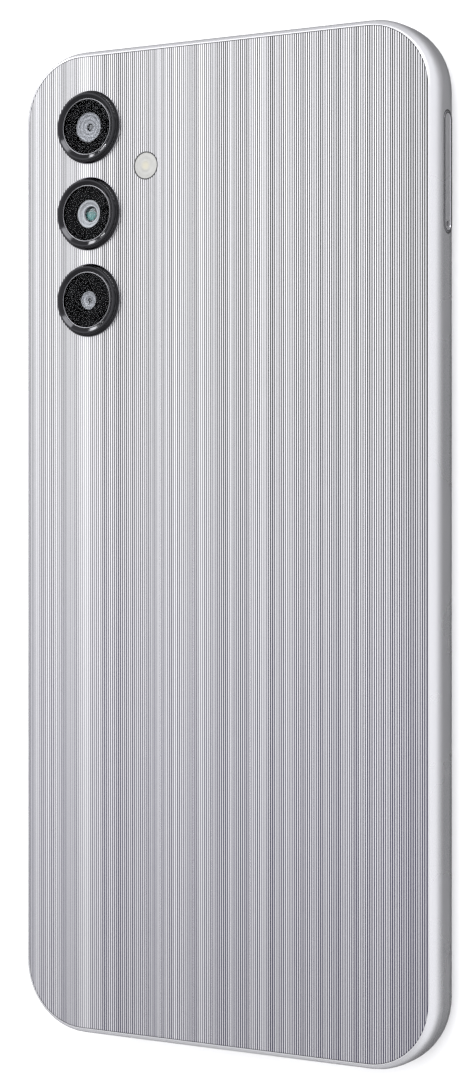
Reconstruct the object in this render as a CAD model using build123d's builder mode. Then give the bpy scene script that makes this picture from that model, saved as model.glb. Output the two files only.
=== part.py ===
"""A smartphone as a bench assembly: casings, display stack, boards, cameras, keys and card tray.

The phone is drawn upright, in millimetres: the origin is the centre of the cover glass's outer
face, +X is the phone's right-hand side seen from the screen, +Y runs from the screen through the
body to the back ("depth"), and +Z runs up the screen.

A phone can't stand on its edge, so finish() lays each piece face down, as the phone rests on a
table. In the written parts the origin is the same point, now on the table, +Z runs from the
screen to the back, +Y runs up the screen and +X points to the card tray's side.
"""

import os

from build123d import *

os.makedirs("parts", exist_ok=True)

# ---------------------------------------------------------------- driving dimensions
WIDTH, HEIGHT, THICKNESS = 78.0, 167.7, 9.1
CORNER_R = 11.8                     # plan radius of the body's four corners
GAP = 0.1                           # general clearance between fitted pieces

# Side frame: a moulded band whose section is rounded towards the back and towards the screen.
BACK_ROUND = (1.3, 3.1)             # inset and depth of the elliptical edge at the back
SIDE_FLAT = 2.2                     # depth of the flat band between the two rounded edges
FRONT_ROUND = (2.4, 3.4)            # inset and depth of the elliptical edge at the screen
FRAME_FRONT = 0.45                  # depth at which the frame's front lip ends
FRAME_BACK = 9.06                   # depth at which the frame's back lip ends
FRAME_INNER = 2.1                   # inset of the frame's inner wall
PANEL_SEAT = 8.1                    # depth of the ledge that carries the back panel
LEDGE_FRONT = 7.3                   # front face of that ledge
LEDGE_INNER = 3.2                   # inset of the ledge's inner edge

# Depth stack from the screen to the back.
GLASS_T = 0.7
TAPE_BACK = 0.95                    # back face of the display tape, where the mid frame starts
CELL_BACK = 1.4
BACKLIGHT_BACK = 2.4
PLATE_FRONT, PLATE_BACK = 2.5, 3.3  # the mid frame's floor
BOARD_FRONT, BOARD_BACK = 5.6, 6.4
SUB_FRONT, SUB_BACK = 5.2, 6.0
PANEL_FRONT = 8.2
GLASS_INSET = 2.2
MID_INNER = 3.1                     # inset of the mid frame wall's inner face
MID_BACK = 7.25
PANEL_INSET = 1.25
PANEL_CHAMFER = 0.1

# Rear cameras, from the top of the phone down, and the flash beside them.
CAMERA_X = 25.5
CAMERA_Z = {"top": 70.55, "middle": 55.85, "bottom": 41.15}
BARREL_R = {"top": 2.58, "middle": 2.4, "bottom": 1.6}
BODY_SIZE = {"top": 8.8, "middle": 10.4, "bottom": 6.6}
BODY_BACK = {"top": 7.6, "middle": 7.7, "bottom": 7.3}
LENS_R = {"top": 0.6, "middle": 1.36, "bottom": 0.42}
RING_R = 6.2
RING_TOP = THICKNESS + 1.2
SLEEVE_R = 5.55
WINDOW_R = 4.68
WINDOW_FRONT, WINDOW_BACK = 9.5, 9.95
FLASH_X, FLASH_Z, FLASH_R = 14.2, 63.25, 2.22
BARREL_BACK = 9.15                  # outer end of a fixed lens barrel
FOCUS_REST = 9.0                    # outer end of the focusing barrel at rest

# Screen camera and earpiece.
FRONT_CAMERA_Z = 76.45
EARPIECE_W, EARPIECE_H = 13.0, 0.75

# Keys on the +X side.
KEY_DEPTH = 4.85
POWER_Z, POWER_L, POWER_W = 15.5, 15.0, 3.0
VOLUME_Z, VOLUME_L, VOLUME_W = 40.0, 21.0, 2.4
KEY_BASE_X = 37.05                  # inner face of the keys' flanges
FLANGE_T = 0.5
VOLUME_POST_PITCH = 12.0
DOME_X, DOME_H = 35.5, 0.12         # where the switch bases end, and the height of their domes

# Card tray and its ejector on the -X side.
TRAY_DEPTH, TRAY_Z = 4.3, 59.1
TRAY_L, TRAY_W = 19.4, 2.9
TRAY_END_X = -13.0                  # inner end of the tray's plate
TRAY_PLATE = (3.85, 4.75)           # depth range of the tray's plate
TRAY_PLATE_Z = (52.0, 67.9)
EJECT_Z = TRAY_Z - TRAY_L / 2 + TRAY_W / 2
ROD_END_X = -10.6
LEVER_X, LEVER_Z = -9.6, 56.4

# Ports along the bottom edge.
PORT_DEPTH = 5.0
USB_W, USB_H = 9.0, 3.2             # receptacle shell
USB_WALL = 0.3
JACK_X, JACK_BORE_R, JACK_BORE_L = -24.0, 1.78, 13.5
JACK_HOLE_R = 2.4                   # hole in the side frame, in front of the socket
JACK_W, JACK_TOP_Z = 5.8, -66.9
MIC_X, TOP_MIC_X, MIC_R = -11.0, 8.0, 0.5
SPEAKER_X, SPEAKER_PITCH, SPEAKER_HOLES = 22.0, 2.1, 6
SPEAKER_HOLE_R = 0.62

# Battery and screws.
BATTERY_X = (-32.0, 30.0)
BATTERY_Z = (-46.0, 37.0)
BATTERY_Y = (3.3, 7.65)
TOP_SCREWS = [(-31.0, 75.5), (-10.0, 77.3), (16.9, 78.4), (-31.5, 44.0), (12.6, 44.7)]
LOW_SCREWS = [(-32.0, -52.5), (3.5, -53.0), (-16.6, -77.8)]
SPEAKER_SCREWS = [(13.0, -53.2), (31.0, -53.2)]
BOSS_R, SCREW_R, SCREW_HEAD_R = 1.5, 0.55, 1.15
TOP_BRACKET = (7.25, 8.05)
LOW_BRACKET = (7.45, 8.05)
MOTOR_X, MOTOR_Z, MOTOR_R = -30.8, -63.8, 4.0

BOTTOM_Z, TOP_Z = -HEIGHT / 2, HEIGHT / 2
RIGHT_X, LEFT_X = WIDTH / 2, -WIDTH / 2

# Half a turn about this line swaps depth and height and reverses X.
LAY_DOWN = Axis((0, 0, 0), (0, 1, 1))


# ---------------------------------------------------------------- helpers
def depth_plane(depth):
    """Plane parallel to the screen: local x is +X, local y is +Z, and its normal faces the viewer."""
    return Plane(origin=(0, depth, 0), x_dir=(1, 0, 0), z_dir=(0, -1, 0))


def slab(width, height, radius, front, back, at=(0, 0), mode=Mode.ADD):
    """A plate with rounded corners, from depth front to depth back."""
    with BuildSketch(depth_plane(front)) as outline:
        with Locations(at):
            RectangleRounded(width, height, radius)
    extrude(outline.sketch, amount=front - back, mode=mode)


def body_slab(inset, front, back, mode=Mode.ADD):
    """A slab whose outline is the body's own, moved in by inset."""
    slab(WIDTH - 2 * inset, HEIGHT - 2 * inset, CORNER_R - inset, front, back, mode=mode)


def block(x, y, z, mode=Mode.ADD):
    """A box from three (low, high) ranges."""
    with Locations(((x[0] + x[1]) / 2, (y[0] + y[1]) / 2, (z[0] + z[1]) / 2)):
        Box(x[1] - x[0], y[1] - y[0], z[1] - z[0], mode=mode)


def post(radius, front, back, at, mode=Mode.ADD):
    """A cylinder along the depth at (x, z)."""
    with Locations((at[0], (front + back) / 2, at[1])):
        Cylinder(radius, back - front, rotation=(90, 0, 0), mode=mode)


def side_slot(length, width, x_from, x_to, depth, z, mode=Mode.ADD):
    """A round-ended bar along Z that runs across the side wall from x_from to x_to."""
    with BuildSketch(Plane.YZ.offset(x_from)) as outline:
        with Locations((depth, z)):
            SlotOverall(length, width, rotation=90)
    extrude(outline.sketch, amount=x_to - x_from, mode=mode)


def edge_slot(length, width, z_from, z_to, x, mode=Mode.ADD):
    """A round-ended bar along X that runs across the bottom or top wall at the ports' depth."""
    with BuildSketch(Plane.XY.offset(z_from)) as outline:
        with Locations((x, PORT_DEPTH)):
            SlotOverall(length, width)
    extrude(outline.sketch, amount=z_to - z_from, mode=mode)


def edge_hole(radius, z_from, z_to, x, mode=Mode.SUBTRACT):
    """A round hole through the bottom or top wall at the ports' depth."""
    with Locations((x, PORT_DEPTH, (z_from + z_to) / 2)):
        Cylinder(radius, abs(z_to - z_from), mode=mode)


def side_post(radius, x_from, x_to, depth, z, mode=Mode.ADD):
    """A cylinder along X."""
    with Locations(((x_from + x_to) / 2, depth, z)):
        Cylinder(radius, abs(x_to - x_from), rotation=(0, 90, 0), mode=mode)


def ring_plane(x, z):
    """Plane through a camera's axis: local x is the radius, local y is the depth."""
    return Plane(origin=(x, 0, z), x_dir=(1, 0, 0), z_dir=(0, 0, 1))


def camera_axis(x, z):
    return Axis((x, 0, z), (0, 1, 0))


def revolved(points, x, z):
    """Revolves a closed (radius, depth) outline about the camera axis at (x, z)."""
    with BuildSketch(ring_plane(x, z)) as section:
        with BuildLine():
            Polyline(*points, close=True)
        make_face()
    revolve(section.sketch, axis=camera_axis(x, z))


def finish(piece, label):
    """Lays a piece of the upright phone face down and writes it."""
    laid = piece.part.rotate(LAY_DOWN, 180)
    laid.label = label
    export_step(laid, f"parts/{label}.step")


# ---------------------------------------------------------------- casings
def add_body_envelope(mode=Mode.ADD):
    """The phone's full outer form as one solid, which the frame and the tray's head are cut from."""
    with BuildSketch(Plane(origin=(RIGHT_X, 0, 0), x_dir=(-1, 0, 0), z_dir=(0, 0, -1))) as section:
        with BuildLine():
            back_y = THICKNESS - BACK_ROUND[1]
            front_y = back_y - SIDE_FLAT
            inner = 5.0
            EllipticalCenterArc((BACK_ROUND[0], back_y), *BACK_ROUND, start_angle=90, arc_size=90)
            Line((0, back_y), (0, front_y))
            EllipticalCenterArc((FRONT_ROUND[0], front_y), *FRONT_ROUND, start_angle=180, arc_size=90)
            Polyline(
                (FRONT_ROUND[0], front_y - FRONT_ROUND[1]),
                (inner, front_y - FRONT_ROUND[1]),
                (inner, THICKNESS),
                (BACK_ROUND[0], THICKNESS),
            )
        make_face()
    half_w, half_h = WIDTH / 2 - CORNER_R, HEIGHT / 2 - CORNER_R
    with BuildLine(depth_plane(0)) as rim:
        Line((RIGHT_X, 0), (RIGHT_X, half_h))
        CenterArc((half_w, half_h), CORNER_R, 0, 90)
        Line((half_w, TOP_Z), (-half_w, TOP_Z))
        CenterArc((-half_w, half_h), CORNER_R, 90, 90)
        Line((LEFT_X, half_h), (LEFT_X, -half_h))
        CenterArc((-half_w, -half_h), CORNER_R, 180, 90)
        Line((-half_w, BOTTOM_Z), (half_w, BOTTOM_Z))
        CenterArc((half_w, -half_h), CORNER_R, 270, 90)
        Line((RIGHT_X, -half_h), (RIGHT_X, 0))
    sweep(section.sketch, path=rim.wires()[0], mode=mode)


with BuildPart() as side_frame:
    add_body_envelope()
    slab(WIDTH, HEIGHT, CORNER_R, FRAME_BACK, THICKNESS + 1, mode=Mode.SUBTRACT)
    slab(WIDTH, HEIGHT, CORNER_R, -1, FRAME_FRONT, mode=Mode.SUBTRACT)
    body_slab(FRAME_INNER, -1, LEDGE_FRONT, mode=Mode.SUBTRACT)
    body_slab(LEDGE_INNER, -1, THICKNESS, mode=Mode.SUBTRACT)
    body_slab(PANEL_INSET - 0.05, PANEL_SEAT, THICKNESS + 1, mode=Mode.SUBTRACT)
    inner_x = RIGHT_X - FRAME_INNER
    # key slots, each with a recess behind it for the key's flange
    side_slot(POWER_L + 0.24, POWER_W + 0.24, inner_x - 1, RIGHT_X + 1, KEY_DEPTH, POWER_Z, Mode.SUBTRACT)
    side_slot(VOLUME_L + 0.24, VOLUME_W + 0.24, inner_x - 1, RIGHT_X + 1, KEY_DEPTH, VOLUME_Z, Mode.SUBTRACT)
    side_slot(POWER_L + 1.8, POWER_W + 1.4, inner_x - 1, inner_x + 0.75, KEY_DEPTH, POWER_Z, Mode.SUBTRACT)
    side_slot(VOLUME_L + 1.8, VOLUME_W + 1.6, inner_x - 1, inner_x + 1.1, KEY_DEPTH, VOLUME_Z, Mode.SUBTRACT)
    # card tray slot
    side_slot(TRAY_L + 0.2, TRAY_W + 0.2, LEFT_X - 1, -inner_x + 1, TRAY_DEPTH, TRAY_Z, Mode.SUBTRACT)
    # bottom edge: data and charging port, headphone jack, microphone and loudspeaker
    edge_slot(USB_W + 0.3, USB_H + 0.3, BOTTOM_Z - 1, BOTTOM_Z + 3, 0, Mode.SUBTRACT)
    edge_hole(JACK_HOLE_R, BOTTOM_Z - 1, BOTTOM_Z + FRAME_INNER, JACK_X)  # through the wall, clear of the ledge
    edge_hole(MIC_R, BOTTOM_Z - 1, BOTTOM_Z + 3, MIC_X)
    edge_hole(MIC_R, TOP_Z - 3, TOP_Z + 1, TOP_MIC_X)
    for n in range(SPEAKER_HOLES):
        offset_x = (n - (SPEAKER_HOLES - 1) / 2) * SPEAKER_PITCH
        edge_hole(SPEAKER_HOLE_R, BOTTOM_Z - 1, BOTTOM_Z + 3, SPEAKER_X + offset_x)
finish(side_frame, "side_frame")

with BuildPart() as back_panel:
    body_slab(PANEL_INSET, PANEL_FRONT, THICKNESS)
    outer_edges = back_panel.faces().sort_by(Axis.Y)[-1].edges()
    chamfer(outer_edges, PANEL_CHAMFER)
    for z in CAMERA_Z.values():
        post(SLEEVE_R + GAP, PANEL_FRONT - 1, THICKNESS + 1, (CAMERA_X, z), Mode.SUBTRACT)
    post(FLASH_R + 0.06, PANEL_FRONT - 1, THICKNESS + 1, (FLASH_X, FLASH_Z), Mode.SUBTRACT)
finish(back_panel, "back_panel")

with BuildPart() as back_panel_tape:
    body_slab(PANEL_INSET + 0.1, PANEL_SEAT, PANEL_FRONT)
    body_slab(MID_INNER, PANEL_SEAT, PANEL_FRONT, Mode.SUBTRACT)
finish(back_panel_tape, "back_panel_tape")

with BuildPart() as cover_glass:
    body_slab(GLASS_INSET, 0, GLASS_T)
    glass_top = TOP_Z - GLASS_INSET
    slab(EARPIECE_W, 2 * EARPIECE_H, 0.35, -1, 2, at=(0, glass_top), mode=Mode.SUBTRACT)
    fillet(cover_glass.faces().sort_by(Axis.Y)[0].edges(), 0.25)
finish(cover_glass, "cover_glass")

with BuildPart() as earpiece_mesh:
    mesh_z = glass_top - EARPIECE_H / 2 + 0.02
    slab(EARPIECE_W - 0.2, EARPIECE_H - 0.14, 0.2, 0.12, 0.62, at=(0, mesh_z))
finish(earpiece_mesh, "earpiece_mesh")

# ---------------------------------------------------------------- display stack
CELL = (70.4, 157.6)                # liquid crystal cell
CELL_CENTRE = (0, 1.0)
with BuildPart() as display_cell:
    slab(*CELL, 6.0, GLASS_T, CELL_BACK, at=CELL_CENTRE)
    post(2.3, 0, 3, (0, FRONT_CAMERA_Z), Mode.SUBTRACT)
finish(display_cell, "display_cell")

with BuildPart() as backlight:
    slab(CELL[0], CELL[1], 6.0, CELL_BACK, BACKLIGHT_BACK, at=CELL_CENTRE)
    post(2.3, 0, 3, (0, FRONT_CAMERA_Z), Mode.SUBTRACT)
finish(backlight, "backlight")

with BuildPart() as display_tape:
    body_slab(GLASS_INSET + 0.1, GLASS_T, TAPE_BACK)
    body_slab(MID_INNER - 0.05, 0, TAPE_BACK, Mode.SUBTRACT)
    slab(EARPIECE_W, 3.0, 0.3, 0, TAPE_BACK, at=(0, glass_top), mode=Mode.SUBTRACT)
finish(display_tape, "display_tape")

# ---------------------------------------------------------------- mid frame
with BuildPart() as mid_frame:
    body_slab(GLASS_INSET, TAPE_BACK, MID_BACK)
    body_slab(MID_INNER, TAPE_BACK, MID_BACK, Mode.SUBTRACT)
    body_slab(MID_INNER - 0.5, PLATE_FRONT, PLATE_BACK)
    # ribs above and below the battery
    for z in (BATTERY_Z[0] - 1.0, BATTERY_Z[1] + 0.2):
        block((-26, 26), (PLATE_BACK, PLATE_BACK + 2.0), (z, z + 0.5))
    for x, z in TOP_SCREWS + LOW_SCREWS + SPEAKER_SCREWS:
        top = TOP_BRACKET[0] if z > 0 else LOW_BRACKET[0]
        post(BOSS_R, PLATE_BACK - 0.1, top, (x, z))
        post(SCREW_R + 0.06, PLATE_BACK + 0.2, top + 0.1, (x, z), Mode.SUBTRACT)
    # rib behind the key switches
    block((34.2, 34.8), (PLATE_BACK - 0.1, 6.4), (POWER_Z - 4, VOLUME_Z + 6.4))
    # openings in the floor: screen camera, earpiece duct, display cable and headphone jack
    post(2.4, 0, PLATE_BACK + 1, (0, FRONT_CAMERA_Z), Mode.SUBTRACT)
    slab(10, 0.9, 0.3, 0, 4.5, at=(0, TOP_Z - 2.95), mode=Mode.SUBTRACT)
    slab(11, 2.8, 0.6, 0, PLATE_BACK + 1, at=(-10, -58.9), mode=Mode.SUBTRACT)
    block((JACK_X - 3.1, JACK_X + 3.1), (PLATE_FRONT - 1, MID_BACK + 1), (-82.5, JACK_TOP_Z + 0.2), Mode.SUBTRACT)
    # passages through the wall
    wall_x = RIGHT_X - MID_INNER - 0.5
    edge_slot(USB_W + 0.3, USB_H + 0.3, BOTTOM_Z, BOTTOM_Z + 5, 0, Mode.SUBTRACT)
    edge_hole(MIC_R + 0.1, BOTTOM_Z, BOTTOM_Z + 5, MIC_X)
    edge_hole(MIC_R + 0.1, TOP_Z - 5, TOP_Z, TOP_MIC_X)
    edge_slot(12.4, 2.4, BOTTOM_Z, BOTTOM_Z + 5, SPEAKER_X, Mode.SUBTRACT)
    edge_slot(13.4, 3.0, BOTTOM_Z, BOTTOM_Z + GLASS_INSET + 0.3, SPEAKER_X, Mode.SUBTRACT)
    side_post(1.0, wall_x, RIGHT_X, KEY_DEPTH, POWER_Z, Mode.SUBTRACT)
    for side in (-1, 1):
        side_post(0.85, wall_x, RIGHT_X, KEY_DEPTH, VOLUME_Z + side * VOLUME_POST_PITCH / 2, Mode.SUBTRACT)
    tray_slot = (TRAY_PLATE[0] - 0.2, TRAY_PLATE[1] + 0.2)
    block((LEFT_X, -wall_x), tray_slot, (TRAY_PLATE_Z[0] - 0.15, TRAY_PLATE_Z[1] + 0.2), Mode.SUBTRACT)
    side_post(0.62, LEFT_X, -wall_x, TRAY_DEPTH, EJECT_Z, Mode.SUBTRACT)
finish(mid_frame, "mid_frame")

# ---------------------------------------------------------------- rear cameras
for name, z in CAMERA_Z.items():
    with BuildPart() as camera_ring:
        revolved(
            [
                (4.25, 8.25), (SLEEVE_R, 8.25), (SLEEVE_R, THICKNESS), (RING_R, THICKNESS),
                (RING_R, THICKNESS + 0.12), (5.98, THICKNESS + 0.34), (5.98, THICKNESS + 0.62),
                (5.86, THICKNESS + 0.74), (5.82, RING_TOP - 0.18), (5.66, RING_TOP), (5.42, RING_TOP),
                (4.86, WINDOW_BACK - 0.02), (4.73, WINDOW_BACK - 0.08), (4.73, 9.3), (4.25, 9.3),
            ],
            CAMERA_X, z,
        )
    finish(camera_ring, f"camera_ring_{name}")

with BuildPart() as camera_windows:
    for z in CAMERA_Z.values():
        post(WINDOW_R, WINDOW_FRONT, WINDOW_BACK, (CAMERA_X, z))
    rims = camera_windows.edges().filter_by(GeomType.CIRCLE).group_by(Axis.Y)[-1]
    chamfer(rims, 0.08)
finish(camera_windows, "camera_windows")


def add_housing(name):
    """A camera's housing with its round turret, bored for the lens barrel."""
    at = (CAMERA_X, CAMERA_Z[name])
    size, back = BODY_SIZE[name], BODY_BACK[name]
    slab(size, size, 0.7, PLATE_BACK, back, at=at)
    post(BARREL_R[name] + 0.75, back - 0.5, 8.35, at)
    post(BARREL_R[name] + 0.08, 4.3, 9.0, at, Mode.SUBTRACT)


def add_barrel(name, outer_y):
    """A stepped lens barrel with a recess at its centre for the front lens."""
    barrel_r, lens_r = BARREL_R[name], LENS_R[name]
    revolved(
        [
            (0, 4.6), (barrel_r, 4.6), (barrel_r, outer_y - 0.06), (barrel_r - 0.06, outer_y),
            (barrel_r * 0.82, outer_y), (barrel_r * 0.78, outer_y - 0.1),
            (lens_r + (barrel_r - lens_r) * 0.4, outer_y - 0.22),
            (lens_r + 0.12, outer_y - 0.42), (lens_r + 0.02, outer_y - 0.42),
            (lens_r + 0.02, outer_y - 1.0), (0, outer_y - 1.0),
        ],
        CAMERA_X, CAMERA_Z[name],
    )


def add_lens(name, outer_y):
    """A plano-convex front lens seated in the barrel's recess."""
    z, lens_r, crown = CAMERA_Z[name], LENS_R[name], outer_y - 0.5
    sphere_r = 2.1 * lens_r
    with BuildSketch(ring_plane(CAMERA_X, z)) as section:
        with Locations((0, outer_y - 0.98)):
            Rectangle(lens_r, 0.48, align=(Align.MIN, Align.MIN))
        with Locations((0, crown - sphere_r)):
            Circle(sphere_r, mode=Mode.INTERSECT)
    revolve(section.sketch, axis=camera_axis(CAMERA_X, z))


FIXED_CAMERAS = ("top", "bottom")
with BuildPart() as camera_housings:
    for name in FIXED_CAMERAS:
        add_housing(name)
finish(camera_housings, "camera_housings")

with BuildPart() as focus_housing:
    add_housing("middle")
finish(focus_housing, "focus_housing")

with BuildPart() as lens_barrels:
    for name in FIXED_CAMERAS:
        add_barrel(name, BARREL_BACK)
finish(lens_barrels, "lens_barrels")

with BuildPart() as focus_barrel:
    add_barrel("middle", FOCUS_REST)
finish(focus_barrel, "focus_barrel")

with BuildPart() as front_lenses:
    for name in FIXED_CAMERAS:
        add_lens(name, BARREL_BACK)
finish(front_lenses, "front_lenses")

with BuildPart() as focus_lens:
    add_lens("middle", FOCUS_REST)
finish(focus_lens, "focus_lens")

with BuildPart() as lens_masks:
    for name, z in CAMERA_Z.items():
        post(4.66, 9.31, 9.49, (CAMERA_X, z))
        post(BARREL_R[name] + 0.04, 9.2, 9.6, (CAMERA_X, z), Mode.SUBTRACT)
finish(lens_masks, "lens_masks")

with BuildPart() as camera_flexes:
    for name, z in CAMERA_Z.items():
        edge_x = CAMERA_X - BODY_SIZE[name] / 2
        block((16.4, edge_x), (4.3, 4.42), (z - 2.0, z + 2.0))
finish(camera_flexes, "camera_flexes")

with BuildPart() as flash_lens:
    post(FLASH_R, 7.6, THICKNESS + 0.02, (FLASH_X, FLASH_Z))
    chamfer(flash_lens.edges().filter_by(GeomType.CIRCLE).sort_by(Axis.Y)[-1], 0.1)
    post(1.5, 7.5, 8.2, (FLASH_X, FLASH_Z), Mode.SUBTRACT)
finish(flash_lens, "flash_lens")

with BuildPart() as flash_led:
    block((FLASH_X - 1.0, FLASH_X + 1.0), (BOARD_BACK, BOARD_BACK + 0.75), (FLASH_Z - 1.0, FLASH_Z + 1.0))
finish(flash_led, "flash_led")

with BuildPart() as front_camera:
    block((-3.0, 3.0), (PLATE_BACK + 0.1, 5.5), (FRONT_CAMERA_Z - 3.0, FRONT_CAMERA_Z + 3.0))
    post(1.9, 0.85, PLATE_BACK + 0.2, (0, FRONT_CAMERA_Z))
    post(1.1, 0.8, 1.3, (0, FRONT_CAMERA_Z), Mode.SUBTRACT)
finish(front_camera, "front_camera")

# ---------------------------------------------------------------- keys
with BuildPart() as power_key:
    side_slot(POWER_L, POWER_W, KEY_BASE_X, RIGHT_X + 0.28, KEY_DEPTH, POWER_Z)
    fillet(power_key.faces().sort_by(Axis.X)[-1].edges(), 0.22)
    side_slot(POWER_L + 1.4, POWER_W + 1.0, KEY_BASE_X, KEY_BASE_X + FLANGE_T, KEY_DEPTH, POWER_Z)
    side_post(0.7, DOME_X + 0.36, KEY_BASE_X, KEY_DEPTH, POWER_Z)
    side_slot(POWER_L - 1.8, POWER_W - 0.9, RIGHT_X - 0.1, RIGHT_X + 1, KEY_DEPTH, POWER_Z, Mode.SUBTRACT)
finish(power_key, "power_key")

with BuildPart() as fingerprint_sensor:
    side_slot(POWER_L - 1.84, POWER_W - 0.94, RIGHT_X - 0.1, RIGHT_X + 0.24, KEY_DEPTH, POWER_Z)
finish(fingerprint_sensor, "fingerprint_sensor")

with BuildPart() as volume_key:
    side_slot(VOLUME_L, VOLUME_W, KEY_BASE_X, RIGHT_X + 0.5, KEY_DEPTH, VOLUME_Z)
    fillet(volume_key.faces().sort_by(Axis.X)[-1].edges(), 0.4)
    side_slot(VOLUME_L + 1.4, VOLUME_W + 1.0, KEY_BASE_X, KEY_BASE_X + FLANGE_T, KEY_DEPTH, VOLUME_Z)
    for side in (-1, 1):
        side_post(0.6, DOME_X + 0.36, KEY_BASE_X, KEY_DEPTH, VOLUME_Z + side * VOLUME_POST_PITCH / 2)
finish(volume_key, "volume_key")

switch_z = [POWER_Z, VOLUME_Z - VOLUME_POST_PITCH / 2, VOLUME_Z + VOLUME_POST_PITCH / 2]
with BuildPart() as key_switches:
    for z in switch_z:
        block((34.95, DOME_X), (KEY_DEPTH - 1.2, KEY_DEPTH + 1.2), (z - 1.6, z + 1.6))
finish(key_switches, "key_switches")

with BuildPart() as switch_domes:
    for z in switch_z:
        side_post(0.75, DOME_X, DOME_X + DOME_H, KEY_DEPTH, z)
finish(switch_domes, "switch_domes")

with BuildPart() as key_flex:
    block((34.8, 34.95), (3.6, 6.1), (switch_z[0] - 3, switch_z[2] + 3.6))
    tail_x = 14.6
    block((tail_x, 34.95), (3.95, 4.1), (switch_z[2] + 0.6, switch_z[2] + 3.6))
finish(key_flex, "key_flex")

# ---------------------------------------------------------------- card tray, reader and ejector
SIM_POCKET = ((-35.2, -26.3), (53.6, 66.0))      # nano card, 8.8 by 12.3
MEMORY_POCKET = ((-25.2, -14.1), (52.4, 67.45))  # memory card, 11 by 15
POCKET_LIP = 0.9
POCKET_FLOOR = TRAY_PLATE[0] + 0.2
head_inner_x = LEFT_X + 1.85
with BuildPart() as sim_tray:
    add_body_envelope()
    side_slot(TRAY_L, TRAY_W, LEFT_X - 1, head_inner_x, TRAY_DEPTH, TRAY_Z, Mode.INTERSECT)
    block((head_inner_x - 0.2, TRAY_END_X), TRAY_PLATE, TRAY_PLATE_Z)
    for x, z in (SIM_POCKET, MEMORY_POCKET):
        block(x, (POCKET_FLOOR, TRAY_PLATE[1] + 1), z, Mode.SUBTRACT)
        window_x = (x[0] + POCKET_LIP, x[1] - POCKET_LIP)
        window_z = (z[0] + POCKET_LIP, z[1] - POCKET_LIP)
        block(window_x, (0, TRAY_PLATE[1] + 1), window_z, Mode.SUBTRACT)
    side_post(0.5, LEFT_X - 1, head_inner_x + 0.2, TRAY_DEPTH, EJECT_Z, Mode.SUBTRACT)
finish(sim_tray, "sim_tray")

CAGE_X, CAGE_Z = (-35.5, -7.4), (49.4, 69.2)
with BuildPart() as sim_cage:
    block(CAGE_X, (BOARD_FRONT - 0.2, BOARD_FRONT), CAGE_Z)
    for z in (CAGE_Z[0], CAGE_Z[1] - 0.2):
        block(CAGE_X, (PLATE_BACK + 0.15, BOARD_FRONT - 0.1), (z, z + 0.2))
    post(0.5, PLATE_BACK + 0.15, BOARD_FRONT - 0.1, (LEVER_X, LEVER_Z))
finish(sim_cage, "sim_cage")

with BuildPart() as sim_contacts:
    for column_x in (-32.6, -30.0, -22.6):
        for row in range(3):
            contact_z = TRAY_Z - 3.4 + row * 2.6
            block((column_x, column_x + 1.2), (4.95, BOARD_FRONT - 0.2), (contact_z, contact_z + 0.9))
finish(sim_contacts, "sim_contacts")

with BuildPart() as eject_rod:
    block((-36.2, ROD_END_X), (TRAY_DEPTH - 0.4, TRAY_DEPTH + 0.4), (EJECT_Z - 0.4, EJECT_Z + 0.4))
finish(eject_rod, "eject_rod")

with BuildPart() as eject_lever:
    with BuildSketch(depth_plane(TRAY_DEPTH - 0.35)):
        with BuildLine():
            Polyline(
                (LEVER_X - 0.85, EJECT_Z - 0.6), (LEVER_X + 0.6, EJECT_Z - 0.6), (LEVER_X + 1.0, LEVER_Z),
                (LEVER_X + 0.4, LEVER_Z + 6.2), (LEVER_X - 1.3, LEVER_Z + 6.2), (LEVER_X - 1.3, LEVER_Z + 5.2),
                (LEVER_X - 0.85, LEVER_Z + 4.4),
                close=True,
            )
        make_face()
        with Locations((LEVER_X, LEVER_Z)):
            Circle(1.1)
            Circle(0.55, mode=Mode.SUBTRACT)
    extrude(amount=-0.7)
finish(eject_lever, "eject_lever")

# ---------------------------------------------------------------- main board
with BuildPart() as main_board:
    block((-36, 18.8), (BOARD_FRONT, BOARD_BACK), (39.4, 82))
    body_slab(MID_INNER + 0.3, BOARD_FRONT - 1, BOARD_BACK + 1, Mode.INTERSECT)
    for at in TOP_SCREWS:
        post(BOSS_R + 0.25, BOARD_FRONT - 1, BOARD_BACK + 1, at, Mode.SUBTRACT)
finish(main_board, "main_board")

CANS = [((-29.5, -4.0), (47.0, 73.0)), ((-1.5, 10.5), (47.0, 72.0))]
CAN_BACK, CAN_WALL = 7.15, 0.15
with BuildPart() as board_shields:
    for x, z in CANS:
        block(x, (BOARD_BACK, CAN_BACK), z)
        inner_range_x = (x[0] + CAN_WALL, x[1] - CAN_WALL)
        inner_range_z = (z[0] + CAN_WALL, z[1] - CAN_WALL)
        block(inner_range_x, (BOARD_BACK - 0.1, CAN_BACK - CAN_WALL), inner_range_z, Mode.SUBTRACT)
finish(board_shields, "board_shields")

CHIPS = [(-22, 64, 12, 12), (-10, 66, 8, 10), (-22, 52, 7, 6), (-11, 53, 6, 6), (4.5, 66, 7, 7), (4.5, 54, 6, 8)]
with BuildPart() as board_chips:
    for x, z, width, height in CHIPS:
        block((x - width / 2, x + width / 2), (BOARD_BACK, BOARD_BACK + 0.5), (z - height / 2, z + height / 2))
finish(board_chips, "board_chips")

FLEX_X = -10.0
with BuildPart() as board_connectors:
    block((FLEX_X - 4.5, FLEX_X + 4.5), (BOARD_BACK, BOARD_BACK + 0.5), (41.2, 44.0))
    block((2.5, 8.5), (BOARD_BACK, BOARD_BACK + 0.5), (41.2, 43.4))
    for z in CAMERA_Z.values():
        block((15.4, 17.8), (4.42, BOARD_FRONT), (z - 1.9, z + 1.9))
    # on the bottom board: the main ribbon's socket and the display ribbon's socket
    block((FLEX_X - 4.5, FLEX_X + 4.5), (SUB_BACK, SUB_BACK + 0.68), (-63.6, -61.2))
    block((FLEX_X - 4.8, FLEX_X + 4.8), (4.1, SUB_FRONT), (-65.2, -62.8))
finish(board_connectors, "board_connectors")

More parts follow.
